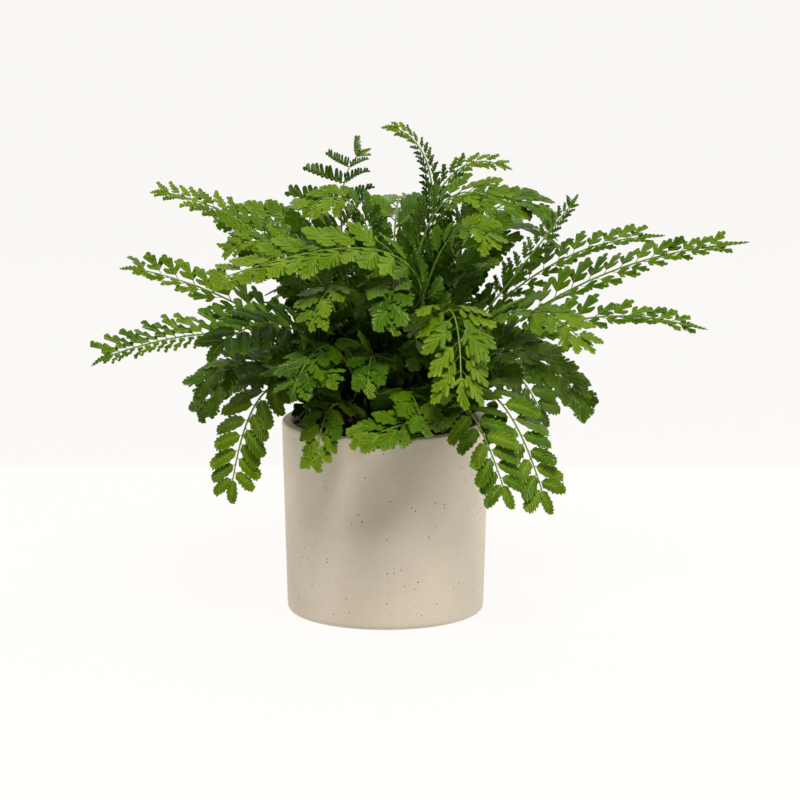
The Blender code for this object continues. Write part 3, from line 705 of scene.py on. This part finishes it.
class Arch:
    # The rib's line: a parabola from the crown towards its crest and over to its tip, in millimetres
    def __init__(self, root, crest, tip, lean):
        self.lean = lean
        self.root, self.crest, self.tip = (np.array(place, float) for place in (root, crest, tip))
        self.t = np.linspace(0, 1, stalk["archSteps"] + 1)
        steps = np.diff(self.point(self.t), axis=0)
        self.reached = np.concatenate(([0], np.cumsum(np.linalg.norm(steps, axis=1))))
        self.length = self.reached[-1]

    def point(self, t):
        t = np.asarray(t)[:, None]
        return (1 - t) ** 2 * self.root + 2 * t * (1 - t) * self.crest + t**2 * self.tip

    def bend(self, flat):
        # Moves flat points (across, along, up) onto the arch
        t = np.interp(flat[:, 1], self.reached, self.t)
        past = flat[:, 1:2] - np.clip(flat[:, 1:2], 0, self.length)
        ways = (1 - t[:, None]) * (self.crest - self.root) + t[:, None] * (self.tip - self.crest)
        ways /= np.linalg.norm(ways, axis=1, keepdims=True)
        # Leaflets face the light, and the front too where the rib runs sideways
        lean = self.lean * (1 - np.abs(ways[:, 1:2]))
        facing = np.concatenate((0 * lean, -lean, 0 * lean + 1), axis=1)
        normals = facing - np.sum(ways * facing, axis=1, keepdims=True) * ways
        normals /= np.linalg.norm(normals, axis=1, keepdims=True)
        sides = np.cross(ways, normals)
        return self.point(t) + past * ways + flat[:, :1] * sides + flat[:, 2:] * normals

    def steep(self, along):
        # 0 where the rib climbs no more than half of its way, and 1 where it climbs at least 0.9 of it
        places = self.bend(np.array(((0, along, 0), (0, along + 1, 0))))
        climb = places[1, 2] - places[0, 2]
        return min(1, max(0, (climb - 0.5) / 0.4))


def ribWidth(share):
    return stalk["wide"][0] + (stalk["wide"][1] - stalk["wide"][0]) * min(1, max(0, share))


class Frond:
    def __init__(self, number, root, line, templates):
        crest, tip, reach, self.form, start, self.tone = line
        self.shape = leafForms[self.form]
        self.number = number
        self.arch = Arch(root, crest, tip, stalk["lean"] * self.shape["lean"])
        self.rng = random.Random(stalk["seed"] + number)
        self.templates = templates
        self.below = 1 if tip[0] > crest[0] else -1  # the side that hangs where the rib runs sideways
        self.leaflets = self.plan(reach, start)

    def taper(self, u):
        # The share of full length at u, which runs from 0 at the frond's start to 1 at the end leaflet
        loss, power = self.shape["taper"]
        return (1 - loss * max(0, u)) ** power

    def plan(self, reach, start):
        # Every leaflet of the frond as a dictionary of its sizes, in millimetres and radians
        shape, rng = self.shape, self.rng
        length, shade = self.arch.length, shape["shade"]
        endLong = leaflet["endShare"] * reach * self.taper(1)
        self.endLong = max(leaflet["shortest"] * length, shape["tail"] * length, endLong)
        begin, last = start * length, length - self.endLong
        first = max(leaflet["lowest"], start - shape["further"]) * length
        places, along, closest = [], first, leaflet["closest"]
        while along < last:
            places.append(along)
            closer = 1 - shade * self.arch.steep(along)
            full = closest + (1 - closest) * self.taper((along - begin) / (last - begin))
            along += shape["spacing"] * reach * closer * full
        stretch = (last - first) / (places[-1] - first)
        leaflets = []
        for k, place in enumerate(places):
            here = first + (place - first) * stretch
            ahead = first + (places[min(k + 1, len(places) - 1)] - first) * stretch
            before = first + (places[max(k - 1, 0)] - first) * stretch
            spacing = max(ahead - here, here - before)
            for side in (1, -1):
                along = here + (spacing / 2 if shape["alternate"] and side < 0 else 0)
                if along > last + 0.1:
                    continue
                u = (along - begin) / (last - begin)
                angle = shape["angle"] - leaflet["forward"] * max(0, u)
                turn = math.radians(angle + rng.uniform(-1, 1) * leaflet["unevenAngle"])
                long = reach * self.taper(u) * rng.uniform(*leaflet["unevenLength"])
                # Where the rib rises straight up, leaflets are shorter and turn more, and their tone below is
                # darkened as painted shade of the crowded middle
                steep, narrow = self.arch.steep(along), 1
                long *= (leaflet["young"] if along < begin else 1) * (1 - shade * steep)
                turn += math.radians(leaflet["steepTurn"]) * steep
                if side == self.below:
                    long, narrow = long * shape["under"][0], shape["under"][1]
                    turn += math.radians(shape["under"][2])
                variant = rng.randrange(leaflet["variants"])
                wide = self.templates[self.form][variant]["wide"] * long
                shingle = leaflet["shingle"]
                leaflets.append({
                    "side": side, "along": along, "long": long, "turn": turn, "u": u, "variant": variant,
                    "squeeze": min(1, shape["crowding"] * spacing / wide) * narrow,
                    "tilt": math.radians(rng.uniform(-1, 1) * leaflet["unevenTilt"]),
                    "shingle": math.radians(shingle + rng.uniform(-1, 1) * leaflet["unevenShingle"]),
                    "chance": rng.random(), "tone": self.tone * (1 - leaflet["shadeWhereSteep"] * steep),
                    "phase": rng.uniform(0, math.tau),
                })
        return leaflets

    def place(self, points, pleats, leaf, layer):
        # Unit leaflet points to flat places on the frond
        x, y = points[:, 0] * leaf["long"], points[:, 1] * leaf["long"] * leaf["squeeze"]
        side, turn = leaf["side"], leaf["turn"]
        hinge = 0 if leaf.get("end") else ribWidth(leaf["along"] / self.arch.length) * stalk["hinge"]
        up = pleats * leaflet["pleat"] * leaf["long"]
        up += leaflet["fold"] * np.abs(y) - leaflet["droop"] * y**2
        up += y * math.sin(leaf["shingle"])
        up += leaflet["wave"] * np.sin(points[:, 0] * leaflet["waves"] + leaf["phase"]) * x
        up += layer
        y = y + leaflet["curl"] * points[:, 0] ** 2 * leaf["long"]
        out = x * math.sin(turn) - y * math.cos(turn)
        along = leaf["along"] + x * math.cos(turn) + y * math.sin(turn)
        up = up + leaflet["rise"] * out - leaflet["sag"] * out**2
        cos, sin = math.cos(leaf["tilt"]), math.sin(leaf["tilt"])
        return np.column_stack((side * (hinge + out * cos - up * sin), along, out * sin + up * cos))

    def proxy(self, leaf):
        # A few faces that stand for a leaflet while room is made for it
        points = np.array(proxyCorners * 2)
        layer = np.repeat((1, -1), len(proxyCorners)) * leaflet["clearance"]
        return self.arch.bend(self.place(points, np.zeros(len(points)), leaf, layer))

    def ribProxy(self):
        marks = np.arange(-stalk["proxySunk"], self.arch.length, stalk["proxyStep"])
        flat = [(across * ribWidth(y / self.arch.length), y, up) for y in marks
                for across, up in ((-1, 0.7), (1, 0.7), (0, -0.8))]
        faces = [(3 * k + a, 3 * k + b, 3 * k + 3 + b, 3 * k + 3 + a) for k in range(len(marks) - 1)
                 for a, b in ((0, 1), (1, 2), (2, 0))]
        return self.arch.bend(np.array(flat)), faces

    def makeRoom(self, others):
        # Turns each leaflet about the rib until it is clear of the other fronds and of the pot
        for leaf in self.leaflets:
            resting = leaf["tilt"]
            for turn in leaflet["turns"]:
                leaf["tilt"] = resting + math.radians(turn)
                points = self.proxy(leaf)
                tree = BVHTree.FromPolygons(points.tolist(), proxyFaces)
                inside = np.hypot(points[:, 0], points[:, 1]) < pot["rim"] + leaflet["clearance"]
                low = (inside & (points[:, 2] < pot["height"] + leaflet["clearance"])).any()
                if not low and not tree.overlap(others):
                    break
            else:
                leaf["tilt"] = resting

    def rib(self):
        # Rings of the stalk and rachis: eight sides, grooved along the top, swollen at the foot
        length, deep = self.arch.length, stalk["deep"]
        count = max(stalk["leastRings"], round(length / stalk["step"]))
        rings = []
        for mark in np.linspace(-stalk["sunk"], length - self.endLong * stalk["bareTip"], count):
            share = min(1, max(0, mark / length))
            foot = 1 + stalk["swollen"] * math.exp(-max(0, mark) / stalk["swollenLong"])
            wide, high = ribWidth(share) * foot, (deep[0] + (deep[1] - deep[0]) * share) * foot
            ring = []
            for k in range(stalk["sides"]):
                a = math.tau * k / stalk["sides"]
                groove = stalk["groove"] if k == stalk["sides"] // 4 else 1
                ring.append((wide * math.cos(a), mark, high * math.sin(a) * groove))
            rings.append(ring)
        return rings

    def make(self, look):
        # Draws the rib and every leaflet flat, and bends them onto the arch together. The attribute leaf is
        # (place among the lobes, side of the midrib, chance), and grow is (way along the leafy part, tone,
        # and 0 on top of a leaflet, 0.5 under it or 1 on the rib)
        bm = bmesh.new()
        growTube(bm, self.rib())
        bmesh.ops.recalc_face_normals(bm, faces=bm.faces)
        ribs = np.array([vert.co[:] for vert in bm.verts])
        flats = [ribs]
        leafFacts = [np.zeros((len(ribs), 3))]
        growFacts = [np.column_stack((ribs[:, 1] / self.arch.length * self.shape["foot"],
                                      np.full(len(ribs), self.tone), np.ones(len(ribs))))]
        for leaf in self.leaflets + [self.endLeaf()]:
            form = leaf.get("form", self.form)
            template = self.templates[form][leaf["variant"]]
            bm.from_mesh(template["meshes"][0 if leaf["side"] > 0 else 1])
            points, facts = template["points"], template["facts"]
            layer = points[:, 2] * leaflet["thick"] / 2
            flats.append(self.place(points, facts[:, 2], leaf, layer))
            count = len(points)
            leafFacts.append(np.column_stack((facts[:, 0], facts[:, 1], np.full(count, leaf["chance"]))))
            growFacts.append(np.column_stack((np.full(count, leaf["u"]), np.full(count, leaf["tone"]),
                                              np.where(points[:, 2] > 0, 0, 0.5))))
        name = f"frond{self.number:02d}"
        mesh = bpy.data.meshes.new(name)
        bm.to_mesh(mesh)
        bm.free()
        places = np.clip(self.arch.bend(np.concatenate(flats)) * mm, *roomFor)
        mesh.vertices.foreach_set("co", places.ravel())
        for title, facts in (("leaf", leafFacts), ("grow", growFacts)):
            attribute = mesh.attributes.new(title, "FLOAT_VECTOR", "POINT")
            attribute.data.foreach_set("vector", np.concatenate(facts).ravel())
        mesh.update()
        addMesh(name, mesh, look, [f"frond_{self.number:02d}"])
        return len(mesh.polygons)

    def endLeaf(self):
        # In line with the rib: one more leaflet of the frond's own form, or a narrow toothed tail
        tail = self.shape["tail"] > 0
        narrow = leaflet["tailWide"] / (self.templates["tail"][0]["wide"] * self.endLong)
        return {"side": 1, "along": self.arch.length - self.endLong, "long": self.endLong,
                "squeeze": narrow if tail else leaflet["endSqueeze"], "form": "tail" if tail else self.form,
                "turn": 0.0, "u": 1.0, "tilt": 0.0, "shingle": 0.0, "variant": 0,
                "chance": self.rng.random(), "tone": self.tone, "phase": 0.0, "end": True}


# The leaves are kept 0.1 mm inside the box of the solids
roomFor = np.array(cadBox) + np.array(((0.1, 0.1, 0), (-0.1, -0.1, -0.1))) * mm
proxyCorners = ((0, 0), (0.35, 0.3), (0.35, -0.3), (0.8, 0.25), (0.8, -0.25), (1, 0.05), (1, -0.05))
proxyFaces = [(a + k, b + k, c + k) for k in (0, len(proxyCorners))
              for a, b, c in ((0, 1, 2), (1, 3, 4), (1, 4, 2), (3, 5, 6), (3, 6, 4))]


def treeOf(shapes):
    # One tree, to test overlaps against, of several (points, faces)
    points, faces, start = [], [], 0
    for somePoints, someFaces in shapes:
        points += somePoints.tolist()
        faces += [tuple(corner + start for corner in face) for face in someFaces]
        start += len(somePoints)
    return BVHTree.FromPolygons(points, faces)


def growPlant():
    templates = {}
    rng = random.Random(leaflet["seed"])
    for form in leafForms:
        templates[form] = [leafTemplate(form, rng) for _ in range(leaflet["variants"])]
    fronds = []
    for (radius, heading), lines in zip(rings, (innerFronds, middleFronds, outerFronds, centreFronds)):
        for k, line in enumerate(lines):
            root = around(radius, math.radians(heading) + math.tau * k / len(lines), crownHeight(radius))
            fronds.append(Frond(len(fronds) + 1, root, line, templates))
    print("leaflets:", sum(len(frond.leaflets) for frond in fronds))
    shown = [[frond.ribProxy()] for frond in fronds]
    for number, frond in enumerate(fronds):
        others = [shape for k, shapes in enumerate(shown) if k != number for shape in shapes]
        frond.makeRoom(treeOf(others))
        shown[number] += [(frond.proxy(leaf), proxyFaces) for leaf in frond.leaflets]
    look = frondLook()
    faces = sum(frond.make(look) for frond in fronds)
    print("fronds grown, faces:", faces)


foliage = {
    # deep is the leaves' darkest green, also used for painted shade in the furrows between lobes
    "deep": (0.008, 0.030, 0.0008), "middle": (0.040, 0.112, 0.0015), "fresh": (0.140, 0.235, 0.003),
    "vein": (0.22, 0.31, 0.03), "stalk": (0.15, 0.24, 0.03), "foot": (0.03, 0.017, 0.008),
    "under": (0.07, 0.12, 0.02), "through": (0.16, 0.30, 0.004), "glow": 0.12, "sheen": (0.85, 1.0, 0.4),
}


def frondLook():
    look = Look("fernFrond")
    place = look.node("ShaderNodeTexCoord", out="Object")
    vein, across, chance = look.attribute("leaf")
    grow, tone, part = look.attribute("grow")
    patch = look.grain(place, 55, 2)
    fine = look.grain(place, 900, 2, 0.6)
    # The frond's tone, darkened as painted shade on steep inner leaflets, with random, patchy and
    # along-the-frond change
    ageAndShade = tone * 0.85 + chance * 0.38 - 0.17 + grow * 0.18 + (patch - 0.5) * 0.5 + (fine - 0.5) * 0.15
    colour = look.mix(ageAndShade.between(0.0, 0.5), foliage["deep"], foliage["middle"])
    colour = look.mix(ageAndShade.between(0.45, 1.05), colour, foliage["fresh"])
    middle = abs(across).between(0.12, 0.02)
    lobe = abs(vein.fraction() - 0.5)
    sideVein = lobe.between(0.12, 0.03) * abs(across).between(0.95, 0.6)
    # Painted shade in the furrows near the sinuses between the lobes, away from the midrib
    furrowShade = lobe.between(0.24, 0.5) * abs(across).between(0.15, 0.5)
    colour = look.mix(furrowShade * 0.5, colour, foliage["deep"])
    ripple = abs((vein * 3).fraction() - 0.5) * abs(across).between(0.1, 0.5)
    colour = look.mix(middle * 0.45 + sideVein * 0.12, colour, foliage["vein"])
    margin = abs(across).between(0.8, 1.0)
    colour = look.mix(margin * 0.12, colour, foliage["fresh"])
    below = part.between(0.2, 0.45)
    colour = look.mix(below * 0.35, colour, foliage["under"])
    rib = part.between(0.8, 0.95)
    ribColour = look.mix(grow.between(0.16, 0.03), foliage["stalk"], foliage["foot"])
    ribColour = look.mix(fine.between(0.4, 0.7) * 0.3, ribColour, foliage["middle"])
    colour = look.mix(rib, colour, ribColour)
    look.set(Base_Color=colour, Roughness=0.2 + fine * 0.14 + ageAndShade.between(0.2, 0.9) * 0.1)
    look.set(Specular_IOR_Level=0.3, Specular_Tint=foliage["sheen"])
    look.bump(fine * 0.4 - ripple * 1.4 - middle * 0.6 + patch * 0.5, 0.0006, 0.6)
    through = look.node("ShaderNodeBsdfTranslucent", None, {"Color": foliage["through"]})
    leafy = {0: foliage["glow"], 1: Value(look, look.shader.outputs[0]), 2: through}
    surface = look.tree.nodes["Material Output"].inputs["Surface"]
    look.feed(surface, look.node("ShaderNodeMixShader", None, leafy))
    return look


# Studio: a pale glowing floor, as in a light tent, with a tall soft light behind the plant, one from the
# front above and one at each side
studio = {
    "floor": 12.0, "paper": (0.03, 0.029, 0.027), "glow": (1.0, 0.979, 0.957), "glowStrength": 0.935,
    "sky": (1.0, 0.985, 0.96), "skyStrength": 0.06, "aim": (0, 0, 0.15),
}
lamps = {
    "keyLight": {"place": (0.2, -1.28, 2.15), "size": (1.0, 1.0), "power": 68, "colour": (1.0, 0.975, 0.94)},
    "rightLight": {"place": (1.7, 0.1, 0.5), "size": (1.0, 1.0), "power": 13, "colour": (1.0, 0.98, 0.95)},
    "leftLight": {"place": (-1.7, 0.1, 0.5), "size": (1.0, 1.0), "power": 7, "colour": (1.0, 0.975, 0.94)},
    "backLight": {"place": (0, 0.46, 1.5), "size": (8.0, 3.0), "power": 75, "colour": (1.0, 0.977, 0.953),
                  "shape": "RECTANGLE", "aim": (0, 0, 1.5)},
}


def makeFloor():
    bm = bmesh.new()
    bmesh.ops.create_grid(bm, x_segments=1, y_segments=1, size=studio["floor"] / 2)
    mesh = bpy.data.meshes.new("floor")
    bm.to_mesh(mesh)
    bm.free()
    floor = bpy.data.objects.new("floor", mesh)
    scene.collection.objects.link(floor)
    look = Look("paperFloor")
    place = look.node("ShaderNodeTexCoord", out="Object")
    fibres = look.grain(place, 400, 3, 0.7)
    look.set(Base_Color=look.mix(fibres * 0.03, studio["paper"], studio["glow"]), Roughness=0.9)
    look.set(Specular_IOR_Level=0.1, Emission_Color=studio["glow"], Emission_Strength=studio["glowStrength"])
    mesh.materials.append(look.material)


def makeLights():
    for name, lamp in lamps.items():
        data = bpy.data.lights.new(name, "AREA")
        data.shape = lamp.get("shape", "ELLIPSE")
        data.size, data.size_y = lamp["size"]
        data.energy = lamp["power"]
        data.color = lamp["colour"]
        light = bpy.data.objects.new(name, data)
        light.location = lamp["place"]
        aim = Vector(lamp.get("aim", studio["aim"]))
        light.rotation_euler = (aim - light.location).to_track_quat("-Z", "Y").to_euler()
        scene.collection.objects.link(light)
    world = bpy.data.worlds.new("studioSky")
    world.use_nodes = True
    sky = world.node_tree.nodes["Background"]
    sky.inputs["Color"].default_value = (*studio["sky"], 1)
    sky.inputs["Strength"].default_value = studio["skyStrength"]
    scene.world = world
    scene.view_settings.view_transform = "Standard"


placeCamera()
makeFloor()
makeLights()
print("camera and studio placed")
makePot()
makeSoil()
makeCrown()
print("pot, potting mix and crown made")
growPlant()
